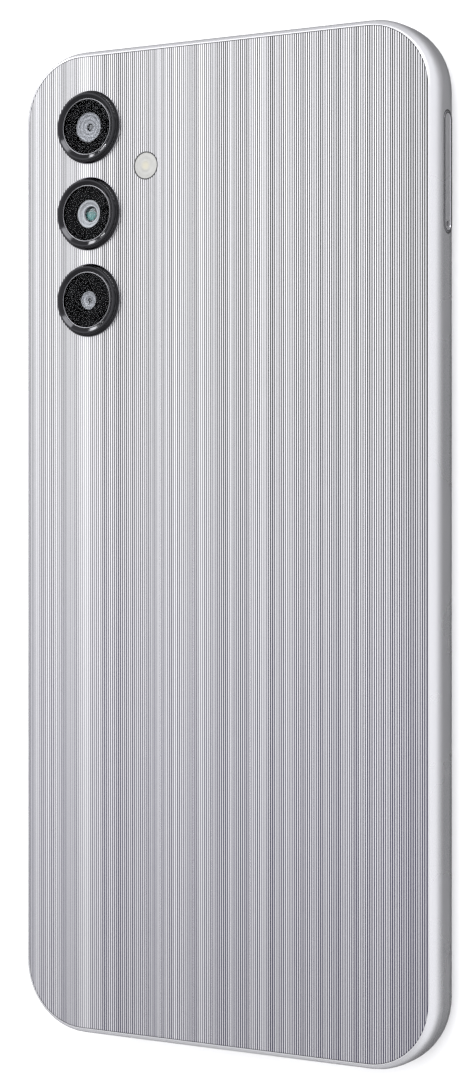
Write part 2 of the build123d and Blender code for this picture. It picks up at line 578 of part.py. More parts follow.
with BuildPart() as microphones:
    block((TOP_MIC_X - 1.5, TOP_MIC_X + 1.5), (BOARD_FRONT - 1.0, BOARD_FRONT), (77.4, 79.6))
    block((MIC_X - 1.5, MIC_X + 1.5), (SUB_FRONT - 1.0, SUB_FRONT), (-80.1, -77.9))
finish(microphones, "microphones")

with BuildPart() as earpiece_receiver:
    slab(10, 5.6, 1.2, PLATE_BACK + 0.1, BOARD_FRONT - 0.2, at=(9.6, 73.6))
finish(earpiece_receiver, "earpiece_receiver")

with BuildPart() as top_bracket:
    block((-36, 18.8), TOP_BRACKET, (39.4, 82))
    body_slab(LEDGE_INNER + 0.15, TOP_BRACKET[0] - 1, TOP_BRACKET[1] + 1, Mode.INTERSECT)
    post(FLASH_R + 0.5, TOP_BRACKET[0] - 1, TOP_BRACKET[1] + 1, (FLASH_X, FLASH_Z), Mode.SUBTRACT)
    for at in TOP_SCREWS:
        post(SCREW_R + 0.1, TOP_BRACKET[0] - 1, TOP_BRACKET[1] + 1, at, Mode.SUBTRACT)
        post(SCREW_HEAD_R + 0.1, TOP_BRACKET[1] - 0.4, TOP_BRACKET[1] + 1, at, Mode.SUBTRACT)
finish(top_bracket, "top_bracket")

# ---------------------------------------------------------------- battery and cables
with BuildPart() as battery:
    block(BATTERY_X, BATTERY_Y, BATTERY_Z)
    fillet(battery.edges().filter_by(Axis.Z), 0.9)
    fillet(battery.faces().sort_by(Axis.Z)[-1].edges(), 0.25)
finish(battery, "battery")

with BuildPart() as battery_flex:
    block((3.0, 8.0), (6.95, 7.05), (37.2, 43.2))
    block((3.0, 8.0), (6.2, 7.05), (37.1, 37.2))
    block((3.0, 8.0), (6.2, 6.3), (37.0, 37.2))
finish(battery_flex, "battery_flex")

RIBBON_T = 0.12
with BuildPart() as main_flex:
    with BuildLine(Plane.YZ.offset(FLEX_X)) as ribbon_path:
        FilletPolyline(
            (6.75, -62.5), (6.75, -48.4), (7.92, -46.6), (7.92, 36.6), (7.03, 38.4), (7.03, 43.8),
            radius=0.8,
        )
    with BuildSketch(Plane(origin=(FLEX_X, 6.75, -62.5), x_dir=(1, 0, 0), z_dir=(0, 0, 1))):
        Rectangle(8.0, RIBBON_T)
    sweep(path=ribbon_path.wires()[0])
finish(main_flex, "main_flex")

with BuildPart() as display_flex:
    with BuildLine(Plane.YZ.offset(FLEX_X)) as fold_path:
        FilletPolyline((2.46, -59.0), (4.0, -59.0), (4.0, -64.6), radius=0.5)
    with BuildSketch(Plane(origin=(FLEX_X, 2.46, -59.0), x_dir=(1, 0, 0), z_dir=(0, 1, 0))):
        Rectangle(9.0, RIBBON_T)
    sweep(path=fold_path.wires()[0])
finish(display_flex, "display_flex")

COAX_R, COAX_Y = 0.35, 6.8
with BuildPart() as antenna_cable:
    with BuildLine(Plane(origin=(0, COAX_Y, 0), x_dir=(1, 0, 0), z_dir=(0, -1, 0))) as coax_path:
        FilletPolyline((-33.2, -58.6), (-33.6, -55.4), (-35.1, -49.0), (-35.1, 40.0), (-34.4, 49.2), radius=2.5)
    start_tangent = Vector(-0.4, 0, 3.2)
    with BuildSketch(Plane(origin=(-33.2, COAX_Y, -58.6), z_dir=start_tangent)):
        Circle(COAX_R)
    sweep(path=coax_path.wires()[0])
finish(antenna_cable, "antenna_cable")

# ---------------------------------------------------------------- bottom board and its parts
with BuildPart() as sub_board:
    block((-36, 7.4), (SUB_FRONT, SUB_BACK), (-82, -60.2))
    body_slab(MID_INNER + 0.3, SUB_FRONT - 1, SUB_BACK + 1, Mode.INTERSECT)
    block((-4.8, 4.8), (SUB_FRONT - 1, SUB_BACK + 1), (-83, -73.9), Mode.SUBTRACT)
    block((JACK_X - 3.1, JACK_X + 3.1), (SUB_FRONT - 1, SUB_BACK + 1), (-83, JACK_TOP_Z + 0.2), Mode.SUBTRACT)
    post(MOTOR_R + 0.3, SUB_FRONT - 1, SUB_BACK + 1, (MOTOR_X, MOTOR_Z), Mode.SUBTRACT)
    for at in LOW_SCREWS:
        post(BOSS_R + 0.25, SUB_FRONT - 1, SUB_BACK + 1, at, Mode.SUBTRACT)
finish(sub_board, "sub_board")

SHELL_MOUTH_Z = BOTTOM_Z + 1.0
SHELL_INNER_Z = -74.1
with BuildPart() as usb_shell:
    edge_slot(USB_W, USB_H, SHELL_MOUTH_Z, SHELL_INNER_Z, 0)
    inner_w, inner_h = USB_W - 2 * USB_WALL, USB_H - 2 * USB_WALL
    edge_slot(inner_w, inner_h, SHELL_MOUTH_Z - 1, SHELL_INNER_Z - 1.2, 0, Mode.SUBTRACT)
finish(usb_shell, "usb_shell")

with BuildPart() as usb_tongue:
    tongue_root = SHELL_INNER_Z - 1.2
    block((-3.35, 3.35), (PORT_DEPTH - 0.35, PORT_DEPTH + 0.35), (SHELL_MOUTH_Z + 1.3, tongue_root))
    fillet(usb_tongue.edges().filter_by(Axis.Y).group_by(Axis.Z)[0], 0.4)
finish(usb_tongue, "usb_tongue")

with BuildPart() as headphone_jack:
    mouth_z = BOTTOM_Z + FRAME_INNER + GAP
    block((JACK_X - JACK_W / 2, JACK_X + JACK_W / 2), (PORT_DEPTH - 2.35, PORT_DEPTH + 2.3), (mouth_z, JACK_TOP_Z))
    fillet(headphone_jack.edges().filter_by(Axis.Z), 0.8)
    edge_hole(JACK_BORE_R, mouth_z - 1, mouth_z + JACK_BORE_L, JACK_X)
finish(headphone_jack, "headphone_jack")

with BuildPart() as low_bracket:
    block((-36, 7.6), LOW_BRACKET, (-82, -49.5))
    body_slab(LEDGE_INNER + 0.15, LOW_BRACKET[0] - 1, LOW_BRACKET[1] + 1, Mode.INTERSECT)
    for at in LOW_SCREWS:
        post(SCREW_R + 0.1, LOW_BRACKET[0] - 1, LOW_BRACKET[1] + 1, at, Mode.SUBTRACT)
        post(SCREW_HEAD_R + 0.1, LOW_BRACKET[1] - 0.4, LOW_BRACKET[1] + 1, at, Mode.SUBTRACT)
finish(low_bracket, "low_bracket")

# coin motor: a closed case, a pin across it and an eccentric weight that spins on the pin
MOTOR_FRONT, MOTOR_BACK, MOTOR_WALL = PLATE_BACK + 0.1, 6.1, 0.25
with BuildPart() as motor_case:
    post(MOTOR_R, MOTOR_FRONT, MOTOR_BACK, (MOTOR_X, MOTOR_Z))
    post(MOTOR_R - MOTOR_WALL, MOTOR_FRONT + MOTOR_WALL, MOTOR_BACK - MOTOR_WALL, (MOTOR_X, MOTOR_Z), Mode.SUBTRACT)
    post(0.4, MOTOR_FRONT, MOTOR_BACK, (MOTOR_X, MOTOR_Z))
finish(motor_case, "motor_case")

with BuildPart() as motor_weight:
    weight_y = (MOTOR_FRONT + MOTOR_WALL + 0.2, MOTOR_BACK - MOTOR_WALL - 0.2)
    post(MOTOR_R - MOTOR_WALL - 0.25, *weight_y, (MOTOR_X, MOTOR_Z))
    block((MOTOR_X - 5, MOTOR_X + 5), (3, 7), (MOTOR_Z, MOTOR_Z + 5), Mode.SUBTRACT)
    post(1.0, *weight_y, (MOTOR_X, MOTOR_Z))
    post(0.45, 3, 7, (MOTOR_X, MOTOR_Z), Mode.SUBTRACT)
finish(motor_weight, "motor_weight")

# ---------------------------------------------------------------- loudspeaker
BOX_X, BOX_Y, BOX_Z = (8.8, 35.6), (PLATE_BACK + 0.1, 8.05), (-81.5, -56.2)
BOX_WALL = 0.7
with BuildPart() as speaker_box:
    block(BOX_X, BOX_Y, BOX_Z)
    block((BOX_X[0], 35.4), LOW_BRACKET, (BOX_Z[1] - 1, -50.2))
    body_slab(LEDGE_INNER + 0.15, 0, 9, Mode.INTERSECT)
    with BuildSketch(depth_plane(BOX_Y[0] + BOX_WALL)) as chamber:
        with Locations((22.0, -67.9)):
            RectangleRounded(24.0, 21.0, 4.0)
    extrude(chamber.sketch, amount=-(BOX_Y[1] - BOX_Y[0] - 2 * BOX_WALL), mode=Mode.SUBTRACT)
    edge_slot(12.0, 2.0, BOTTOM_Z, -77, SPEAKER_X, Mode.SUBTRACT)
    for at in SPEAKER_SCREWS:
        post(SCREW_R + 0.1, LOW_BRACKET[0] - 1, LOW_BRACKET[1] + 1, at, Mode.SUBTRACT)
        post(SCREW_HEAD_R + 0.1, LOW_BRACKET[1] - 0.4, LOW_BRACKET[1] + 1, at, Mode.SUBTRACT)
finish(speaker_box, "speaker_box")

DRIVER = (22.0, -66.5)
DRIVER_FRONT = BOX_Y[0] + BOX_WALL
with BuildPart() as speaker_basket:
    slab(16, 12, 2.0, DRIVER_FRONT, 6.5, at=DRIVER)
    slab(14.6, 10.6, 1.6, DRIVER_FRONT + 0.3, 6.6, at=DRIVER, mode=Mode.SUBTRACT)
finish(speaker_basket, "speaker_basket")

with BuildPart() as speaker_magnet:
    slab(9, 6, 1.0, DRIVER_FRONT + 0.3, 5.5, at=DRIVER)
finish(speaker_magnet, "speaker_magnet")

with BuildPart() as speaker_cone:
    slab(14.2, 10.2, 1.4, 5.85, 6.05, at=DRIVER)
    slab(10.4, 7.4, 1.4, 5.0, 5.86, at=DRIVER)
    slab(9.4, 6.4, 1.1, 4.9, 5.84, at=DRIVER, mode=Mode.SUBTRACT)
finish(speaker_cone, "speaker_cone")

with BuildPart() as speaker_mesh:
    mesh_low = BOTTOM_Z + GLASS_INSET + 0.02
    edge_slot(13.2, 2.8, mesh_low, mesh_low + 0.25, SPEAKER_X)
finish(speaker_mesh, "speaker_mesh")

# ---------------------------------------------------------------- screws
with BuildPart() as screws:
    for at in TOP_SCREWS + LOW_SCREWS + SPEAKER_SCREWS:
        head_back = TOP_BRACKET[1] - 0.02
        post(SCREW_HEAD_R, head_back - 0.37, head_back, at)
        post(SCREW_R, 4.2, head_back - 0.3, at)
        with Locations((at[0], head_back, at[1])):
            Box(1.3, 0.4, 0.25, mode=Mode.SUBTRACT)
            Box(0.25, 0.4, 1.3, mode=Mode.SUBTRACT)
finish(screws, "screws")
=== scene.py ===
"""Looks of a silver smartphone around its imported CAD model: materials, small fittings, studio and camera.

Everything is in metres in the CAD's frame. The phone lies face down: the origin is the centre of
the cover glass's outer face, +X is the card tray's side, +Y runs up the phone to the earpiece edge
and +Z runs from the screen to the back.
"""

import itertools
import math

import bmesh
import bpy
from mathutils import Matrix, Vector


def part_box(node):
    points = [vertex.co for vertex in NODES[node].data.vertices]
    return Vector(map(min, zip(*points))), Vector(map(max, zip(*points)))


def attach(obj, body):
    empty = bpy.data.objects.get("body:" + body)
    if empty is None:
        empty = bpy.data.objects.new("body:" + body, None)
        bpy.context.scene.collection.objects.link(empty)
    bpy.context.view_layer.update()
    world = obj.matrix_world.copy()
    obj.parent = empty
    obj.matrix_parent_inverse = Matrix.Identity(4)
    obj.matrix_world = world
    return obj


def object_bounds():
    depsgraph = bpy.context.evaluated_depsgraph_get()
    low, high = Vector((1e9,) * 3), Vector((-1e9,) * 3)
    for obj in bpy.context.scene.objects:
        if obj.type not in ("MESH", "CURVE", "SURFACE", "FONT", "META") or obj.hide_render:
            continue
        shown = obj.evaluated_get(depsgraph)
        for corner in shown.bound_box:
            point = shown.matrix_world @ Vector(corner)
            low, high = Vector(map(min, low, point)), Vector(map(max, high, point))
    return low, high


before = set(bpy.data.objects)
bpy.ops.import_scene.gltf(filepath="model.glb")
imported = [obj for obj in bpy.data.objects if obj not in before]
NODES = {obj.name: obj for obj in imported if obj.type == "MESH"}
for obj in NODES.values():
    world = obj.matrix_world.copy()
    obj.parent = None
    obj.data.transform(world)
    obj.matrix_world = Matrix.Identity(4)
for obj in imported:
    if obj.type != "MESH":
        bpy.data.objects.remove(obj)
CAD_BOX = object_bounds()
MM = 0.001


def centre(node):
    """The middle of a CAD node's box."""
    low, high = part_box(node)
    return (Vector(low) + Vector(high)) / 2


# ---------------------------------------------------------------- material building blocks
class Graph:
    """A new material's node tree, with short ways to add nodes and join them."""

    def __init__(self, name):
        self.material = bpy.data.materials.new(name)
        self.material.use_nodes = True
        self.tree = self.material.node_tree
        self.shader = self.tree.nodes["Principled BSDF"]

    def node(self, kind, **settings):
        made = self.tree.nodes.new(kind)
        for key, value in settings.items():
            setattr(made, key, value)
        return made

    def feed(self, socket, value):
        """Links an output to a socket, or sets the socket to a plain value."""
        if isinstance(value, bpy.types.NodeSocket):
            self.tree.links.new(value, socket)
        else:
            socket.default_value = value

    def surface(self, **values):
        """Sets or links the shader's own sockets, named with underscores for spaces."""
        for key, value in values.items():
            self.feed(self.shader.inputs[key.replace("_", " ")], value)

    def place(self, offset=(0, 0, 0), scale=(1, 1, 1)):
        """Coordinates in the CAD's frame, measured from offset and then multiplied by scale."""
        coordinates = self.node("ShaderNodeTexCoord").outputs["Object"]
        shifted = self.node("ShaderNodeVectorMath", operation="SUBTRACT")
        self.feed(shifted.inputs[0], coordinates)
        shifted.inputs[1].default_value = offset
        scaled = self.node("ShaderNodeVectorMath", operation="MULTIPLY")
        self.feed(scaled.inputs[0], shifted.outputs[0])
        scaled.inputs[1].default_value = scale
        return scaled.outputs[0]

    def axis(self, vector, name):
        split = self.node("ShaderNodeSeparateXYZ")
        self.feed(split.inputs[0], vector)
        return split.outputs[name]

    def math(self, operation, first, second=0.0, third=0.0):
        made = self.node("ShaderNodeMath", operation=operation)
        for socket, value in zip(made.inputs, (first, second, third)):
            self.feed(socket, value)
        return made.outputs[0]

    def remap(self, value, low, high, to_low=0.0, to_high=1.0):
        """value from low to high becomes to_low to to_high, smoothly, and stays within them."""
        made = self.node("ShaderNodeMapRange", interpolation_type="SMOOTHSTEP")
        for socket, number in zip(made.inputs, (value, low, high, to_low, to_high)):
            self.feed(socket, number)
        return made.outputs["Result"]

    def noise(self, vector, scale, detail=3.0, roughness=0.55):
        made = self.node("ShaderNodeTexNoise")
        self.feed(made.inputs["Vector"], vector)
        made.inputs["Scale"].default_value = scale
        made.inputs["Detail"].default_value = detail
        made.inputs["Roughness"].default_value = roughness
        return made.outputs["Fac"]

    def mix(self, factor, first, second):
        made = self.node("ShaderNodeMix", data_type="RGBA")
        self.feed(made.inputs["Factor"], factor)
        self.feed(made.inputs[6], rgba(first))
        self.feed(made.inputs[7], rgba(second))
        return made.outputs[2]

    def bump(self, height, distance, strength=1.0, normal=None):
        made = self.node("ShaderNodeBump")
        self.feed(made.inputs["Height"], height)
        made.inputs["Distance"].default_value = distance
        made.inputs["Strength"].default_value = strength
        if normal:
            self.feed(made.inputs["Normal"], normal)
        return made.outputs["Normal"]


def rgba(color):
    """A colour of three numbers gets an alpha; anything else passes through."""
    return (*color, 1.0) if isinstance(color, tuple) and len(color) == 3 else color


def scaled(color, factor):
    return tuple(min(1.0, c * factor) for c in color)


def worn_surface(name, color, roughness, grain=0.0, grain_size=0.15, variation=0.06, **sockets):
    """A plain real surface: its colour and gloss drift a little, and it may have a fine grain.

    grain is the grain's depth and grain_size its pitch, both in millimetres.
    """
    g = Graph(name)
    mottle = g.noise(g.place(), 90.0)
    g.surface(
        Base_Color=g.mix(mottle, scaled(color, 1 - variation), scaled(color, 1 + variation)),
        Roughness=g.remap(g.noise(g.place(), 400.0, 4.0), 0.3, 0.7, roughness * 0.85, roughness * 1.15),
        **sockets,
    )
    if grain:
        fine = g.noise(g.place(), 1.0 / (grain_size * MM), 2.0)
        g.surface(Normal=g.bump(fine, grain * MM))
    return g.material


def brushed_metal(name, color, roughness, stretch, variation=0.12, **sockets):
    """Metal with fine scratches drawn out along the axes that stretch leaves small."""
    g = Graph(name)
    streaks = g.noise(g.place(scale=stretch), 1.0, 3.0)
    g.surface(
        Base_Color=g.mix(streaks, scaled(color, 1 - variation), scaled(color, 1 + variation)),
        Metallic=1.0,
        Roughness=g.remap(streaks, 0.3, 0.7, roughness * 0.8, roughness * 1.2),
        Normal=g.bump(streaks, 0.004 * MM),
        **sockets,
    )
    return g.material


# ---------------------------------------------------------------- the materials
SILVER = (0.78, 0.78, 0.80)


LINE_PITCH = 0.4                     # millimetres from one printed line to the next
BAND_PITCH = 1.05                    # the lines gather in uneven bands about this wide
LINE_INK, PAIR_INK, BAND_INK = 1.15, 0.24, 0.06   # how strongly each line, pair of lines and band prints
LINE_SHADE_FROM, LINE_SHADE_TO = -42.0, 26.0   # X in millimetres between which the lines take on painted shade


def lined_film():
    """Silver film under a clear coat, printed with upright lines that are no two alike."""
    g = Graph("lined_film")
    x = g.axis(g.place(scale=(1 / MM,) * 3), "X")

    def shade(pitch, seed):
        own = g.node("ShaderNodeTexWhiteNoise", noise_dimensions="1D")
        g.feed(own.inputs["W"], g.math("ADD", g.math("FLOOR", g.math("DIVIDE", x, pitch)), seed))
        return own.outputs["Value"]

    phase = g.math("FRACT", g.math("DIVIDE", x, LINE_PITCH))
    ridge = g.math("PINGPONG", g.math("MULTIPLY", phase, 2.0), 1.0)
    stroke = g.remap(ridge, 0.35, 0.65, 1.0, 0.0)
    line = g.math("MULTIPLY", stroke, g.remap(shade(LINE_PITCH, 7.0), 0.0, 1.0, 0.55, 1.0))
    pair = g.math("MULTIPLY", shade(2 * LINE_PITCH, 31.0), PAIR_INK)
    band = g.math("MULTIPLY", shade(BAND_PITCH, 53.0), BAND_INK)
    ink = g.math("ADD", g.math("ADD", g.math("MULTIPLY", line, LINE_INK), pair), band)
    # painted shade: the printed lines grow darker from the camera side to the tray side, standing in for the
    # film's grooves catching less light at the changing view angle
    depth = g.math("MULTIPLY", ink, g.remap(x, LINE_SHADE_FROM, LINE_SHADE_TO, 0.86, 1.18))
    # painted reflection: the lines' dark ink is tinted lavender towards the bottom of the phone
    up = g.axis(g.place(scale=(1 / MM,) * 3), "Y")
    tint = g.mix(g.remap(up, 50.0, -60.0), (0.030, 0.030, 0.031), (0.050, 0.044, 0.088))
    streaks = g.noise(g.place(scale=(1100, 1, 3)), 1.0, 2.0)
    g.surface(
        Base_Color=g.mix(depth, (0.84, 0.84, 0.85), tint),
        Metallic=0.9,
        Roughness=g.remap(streaks, 0.3, 0.7, 0.26, 0.34),
        Coat_Weight=0.12,
        Coat_Roughness=0.2,
        Normal=g.bump(g.math("MULTIPLY", line, -1.0), 0.004 * MM, 0.3),
    )
    return g.material


def silver_plastic():
    """Moulded plastic sprayed with fine metal-flake silver under a satin coat."""
    g = Graph("silver_plastic")
    flakes = g.noise(g.place(), 14000.0, 1.0)
    drift = g.noise(g.place(), 45.0)
    coat = g.mix(drift, scaled(SILVER, 0.985), scaled(SILVER, 1.01))
    g.surface(
        Base_Color=g.mix(g.remap(flakes, 0.6, 0.85, 0.0, 0.25), coat, (0.93, 0.93, 0.95)),
        Metallic=0.85,
        Roughness=g.remap(drift, 0.3, 0.7, 0.25, 0.29),
        Coat_Weight=0.2,
        Coat_Roughness=0.22,
        Normal=g.bump(flakes, 0.0002 * MM, 0.3),
    )
    return g.material


def turned_chrome(name, color, roughness, at):
    """Dark-plated metal turned about the camera axis at (x, y), with the tool's faint rings."""
    g = Graph(name)
    local = g.place(offset=(at.x, at.y, 0), scale=(1 / MM, 1 / MM, 0))
    length = g.node("ShaderNodeVectorMath", operation="LENGTH")
    g.feed(length.inputs[0], local)
    one_way = g.node("ShaderNodeCombineXYZ")
    g.feed(one_way.inputs[0], length.outputs["Value"])
    tool = g.noise(one_way.outputs[0], 9.0, 2.0)
    g.surface(
        Base_Color=g.mix(tool, scaled(color, 0.85), scaled(color, 1.15)),
        Metallic=1.0,
        Roughness=g.remap(tool, 0.3, 0.7, roughness * 0.8, roughness * 1.25),
        Normal=g.bump(tool, 0.002 * MM),
    )
    return g.material


def ringed_plastic(name, color, at, spacing, pitch, depth):
    """Grey lens-barrel plastic with moulded rings, pitch apart, round each axis of a row of barrels.

    at is the first barrel's axis; spacing, in millimetres like pitch, is from one barrel to the next.
    """
    g = Graph(name)
    local = g.place(offset=(at.x, at.y, 0), scale=(1 / MM, 1 / MM, 0))
    own = g.node("ShaderNodeCombineXYZ")
    g.feed(own.inputs[0], g.axis(local, "X"))
    g.feed(own.inputs[1], g.math("WRAP", g.axis(local, "Y"), spacing / 2, -spacing / 2))
    length = g.node("ShaderNodeVectorMath", operation="LENGTH")
    g.feed(length.inputs[0], own.outputs[0])
    turns = g.math("FRACT", g.math("DIVIDE", length.outputs["Value"], pitch))
    ridge = g.math("PINGPONG", g.math("MULTIPLY", turns, 2.0), 1.0)
    # painted shade and highlight: each moulded ring's colour is darkened in its groove and lightened on its
    # crest
    g.surface(
        Base_Color=g.mix(g.remap(ridge, 0.3, 0.7), scaled(color, 0.72), scaled(color, 1.1)),
        Roughness=g.remap(g.noise(g.place(), 500.0), 0.3, 0.7, 0.38, 0.5),
        Normal=g.bump(ridge, depth * MM),
    )
    return g.material


def clear_glass(name, tint=(1.0, 1.0, 1.0), ior=1.5):
    g = Graph(name)
    smudge = g.noise(g.place(), 70.0, 4.0)
    g.surface(
        Base_Color=g.mix(smudge, scaled(tint, 0.985), tint),
        Roughness=g.remap(smudge, 0.45, 0.75, 0.0, 0.015),
        Transmission_Weight=1.0,
        IOR=ior,
    )
    return g.material


def coated_lens(name, color, at, radius):
    """A dark lens with a painted highlight: lighter towards the bottom of the phone, darker towards the top,
    and near black towards its rim.
    """
    g = Graph(name)
    local = g.place(offset=(at.x, at.y, 0), scale=(1 / radius, 1 / radius, 0))
    rise = g.axis(local, "Y")
    length = g.node("ShaderNodeVectorMath", operation="LENGTH")
    g.feed(length.inputs[0], local)
    edge = g.remap(length.outputs["Value"], 0.35, 1.0)
    # painted highlight: one side of the lens is lightened and the other darkened
    inner = g.mix(g.remap(rise, -0.8, 0.6), scaled(color, 1.8), scaled(color, 0.35))
    g.surface(
        Base_Color=g.mix(edge, inner, (0.008, 0.009, 0.012)),
        Roughness=0.04,
        Coat_Weight=1.0,
        Coat_Roughness=0.02,
        Specular_IOR_Level=0.8,
    )
    return g.material


def woven_mesh(name, color, pitch):
    """Fine wire cloth: dark square holes between bright wires, pitch apart in millimetres."""
    g = Graph(name)
    spot = g.place(scale=(1 / (pitch * MM),) * 3)
    across = g.math("PINGPONG", g.math("MULTIPLY", g.math("FRACT", g.axis(spot, "X")), 2.0), 1.0)
    up = g.math("ADD", g.axis(spot, "Y"), g.axis(spot, "Z"))
    along = g.math("PINGPONG", g.math("MULTIPLY", g.math("FRACT", up), 2.0), 1.0)
    hole = g.math("MULTIPLY", g.remap(across, 0.35, 0.6), g.remap(along, 0.35, 0.6))
    g.surface(
        Base_Color=g.mix(hole, color, (0.006, 0.006, 0.007)),
        Metallic=g.remap(hole, 0.0, 1.0, 0.9, 0.0),
        Roughness=0.42,
        Normal=g.bump(hole, -0.05 * MM),
    )
    return g.material


def solder_mask():
    """Green circuit board: mask over copper tracks, with tinned vias."""
    g = Graph("solder_mask")
    spot = g.place(scale=(1 / MM,) * 3)
    cells = g.node("ShaderNodeTexVoronoi", feature="DISTANCE_TO_EDGE")
    g.feed(cells.inputs["Vector"], spot)
    cells.inputs["Scale"].default_value = 0.55
    track = g.remap(cells.outputs["Distance"], 0.03, 0.06, 1.0, 0.0)
    g.surface(
        Base_Color=g.mix(track, (0.012, 0.10, 0.055), (0.03, 0.20, 0.10)),
        Roughness=g.remap(track, 0.0, 1.0, 0.42, 0.3),
        Coat_Weight=0.4,
        Coat_Roughness=0.1,
        Normal=g.bump(track, 0.02 * MM),
    )
    return g.material


def switched_off_screen():
    """The display behind the glass: near-black, with a faint blue from its polariser."""
    g = Graph("switched_off_screen")
    cells = g.noise(g.place(), 900.0, 1.0)
    g.surface(
        Base_Color=g.mix(cells, (0.0045, 0.005, 0.0065), (0.006, 0.0065, 0.0085)),
        Roughness=0.22,
        Coat_Weight=0.3,
        Coat_Roughness=0.08,
    )
    return g.material


def ribbed_flash(at):
    """Frosted flash cover, milky with a warm centre where the diode shows through."""
    g = Graph("flash_cover")
    local = g.place(offset=(at.x, at.y, 0), scale=(1 / MM, 1 / MM, 0))
    length = g.node("ShaderNodeVectorMath", operation="LENGTH")
    g.feed(length.inputs[0], local)
    cloud = g.noise(g.place(), 700.0, 3.0)
    warm = g.remap(length.outputs["Value"], 0.2, 1.1, 1.0, 0.0)
    g.surface(
        Base_Color=g.mix(warm, g.mix(cloud, (0.30, 0.30, 0.285), (0.42, 0.42, 0.405)), (0.42, 0.40, 0.32)),
        Roughness=0.22,
        IOR=1.49,
        Coat_Weight=0.3,
    )
    return g.material


# ---------------------------------------------------------------- mesh building blocks
def new_piece(name, verts, faces, material, body, smooth_angle=35.0):
    """A mesh piece in the CAD's frame, smooth except at edges sharper than smooth_angle."""
    mesh = bpy.data.meshes.new(name)
    mesh.from_pydata(verts, [], faces)
    mesh.materials.append(material)
    tidy = bmesh.new()
    tidy.from_mesh(mesh)
    bmesh.ops.recalc_face_normals(tidy, faces=tidy.faces)
    tidy.to_mesh(mesh)
    tidy.free()
    mesh.shade_smooth()
    mesh.set_sharp_from_angle(angle=math.radians(smooth_angle))
    piece = bpy.data.objects.new(name, mesh)
    bpy.context.collection.objects.link(piece)
    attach(piece, body)
    return piece


def lathe(name, at, profile, material, body, sides=96):
    """Turns a closed (radius, depth) outline in millimetres about the upright axis through at."""
    verts, faces, count = [], [], len(profile)
    for n in range(sides):
        turn = 2 * math.pi * n / sides
        for radius, depth in profile:
            x, y = at.x + radius * MM * math.cos(turn), at.y + radius * MM * math.sin(turn)
            verts.append((x, y, depth * MM))
    for n in range(sides):
        here, there = n * count, (n + 1) % sides * count
        for k in range(count):
            after = (k + 1) % count
            faces.append((here + k, here + after, there + after, there + k))
    piece = new_piece(name, verts, faces, material, body)
    weld = bmesh.new()
    weld.from_mesh(piece.data)
    bmesh.ops.remove_doubles(weld, verts=weld.verts, dist=1e-7)
    bmesh.ops.dissolve_degenerate(weld, edges=weld.edges, dist=1e-8)
    weld.to_mesh(piece.data)
    weld.free()
    return piece


def rounded_outline(width, height, radius, middle, steps=10):
    """Points of a rounded rectangle seen from above, in millimetres, running anticlockwise."""
    points = []
    for corner in range(4):
        start = corner * math.pi / 2
        side, end = ((1, 1), (-1, 1), (-1, -1), (1, -1))[corner]
        hub = (middle[0] + side * (width / 2 - radius), middle[1] + end * (height / 2 - radius))
        for n in range(steps + 1):
            turn = start + math.pi / 2 * n / steps
            points.append((hub[0] + radius * math.cos(turn), hub[1] + radius * math.sin(turn)))
    return points


def sheet_between(name, outer, inner, front, back, material, body):
    """A thin flat frame between two outlines with equal numbers of points, in millimetres."""
    count = len(outer)
    rings = [(outer, front), (inner, front), (inner, back), (outer, back)]
    verts = [(x * MM, y * MM, depth * MM) for outline, depth in rings for x, y in outline]
    faces = []
    for ring in range(4):
        a, b = ring * count, (ring + 1) % 4 * count
        for k in range(count):
            after = (k + 1) % count
            faces.append((a + k, a + after, b + after, b + k))
    return new_piece(name, verts, faces, material, body)


def blocks(name, boxes, material, body, edge=0.03):
    """Several small boxes with bevelled edges as one piece.

    Each box is a (low, high) pair of corners in millimetres.
    """
    verts, faces = [], []
    for low, high in boxes:
        start = len(verts)
        verts += [(x * MM, y * MM, z * MM) for x, y, z in itertools.product(*zip(low, high))]
        for quad in ((0, 1, 3, 2), (4, 6, 7, 5), (0, 4, 5, 1), (2, 3, 7, 6), (0, 2, 6, 4), (1, 5, 7, 3)):
            faces.append(tuple(start + corner for corner in quad))
    piece = new_piece(name, verts, faces, material, body)
    bevel = piece.modifiers.new("edges", "BEVEL")
    bevel.width = edge * MM
    bevel.segments = 2
    return piece


def dress(material, *names):
    """Gives CAD nodes a material."""
    for name in names:
        node = NODES[name]
        node.data.materials.clear()
        node.data.materials.append(material)


# ---------------------------------------------------------------- casings
SILVER_COAT = silver_plastic()
dress(lined_film(), "back_panel")
dress(SILVER_COAT, "side_frame", "power_key", "volume_key", "sim_tray")
dress(
    worn_surface("sensor_glaze", (0.58, 0.58, 0.61), 0.16, Metallic=0.6, Coat_Weight=0.6),
    "fingerprint_sensor",
)
FOAM = worn_surface("black_foam", (0.02, 0.02, 0.021), 0.75, grain=0.02, grain_size=0.1)
dress(FOAM, "display_tape", "back_panel_tape")
dress(clear_glass("cover_glass"), "cover_glass")
dress(switched_off_screen(), "display_cell")
dress(worn_surface("backlight_white", (0.8, 0.8, 0.8), 0.5, grain=0.01), "backlight")

